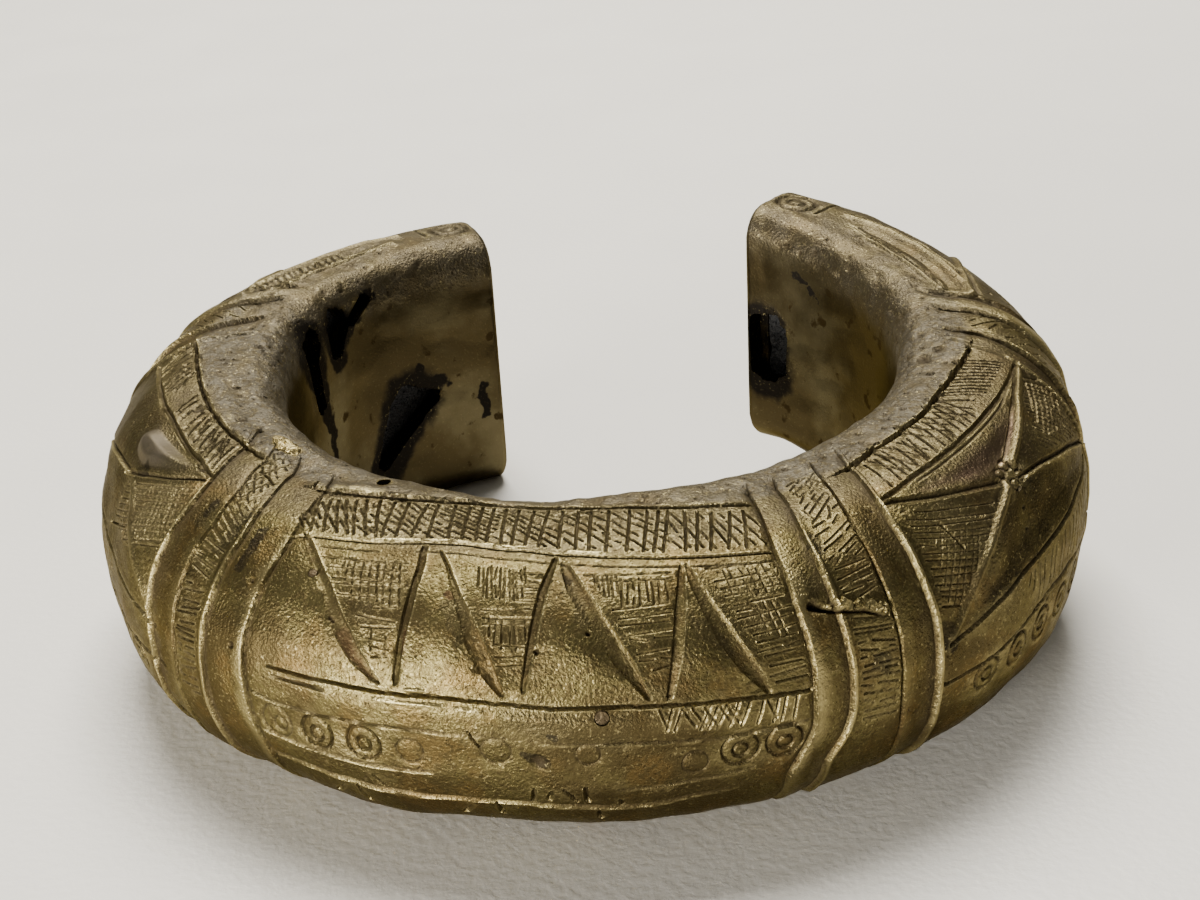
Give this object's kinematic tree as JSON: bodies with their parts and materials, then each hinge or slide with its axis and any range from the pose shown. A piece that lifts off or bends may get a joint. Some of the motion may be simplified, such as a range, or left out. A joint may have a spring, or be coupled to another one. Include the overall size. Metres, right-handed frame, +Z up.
{
  "type": "currency manilla cuff",
  "caption": "Heavy cast brass cuff, open at the back, with ribbed bands, zig-zag and star panels, hollow over a burnt clay core; worn on the arm and kept as a store of value.",
  "frame": {"origin": "middle of the cuff's outline on the surface that it lies on", "axes": "+X to the viewer's right, -Y to the decorated front, +Y to the gap between the arms, +Z up"},
  "size_m": [0.1192, 0.1042, 0.0409],
  "materials": {
    "brass": "aged cast brass, brown patina, bright on worn edges, dark dirt in the chased lines",
    "core": "matt black burnt clay and charcoal",
    "pin_iron": "dull rusted iron, filed flush",
    "patch_brass": "pale yellow burnt-on brass, rough"
  },
  "bodies": {
    "root": {"cast_shell": "brass", "clay_core": "core", "core_pins": "pin_iron", "rim_patch": "patch_brass"}
  },
  "joints": []
}
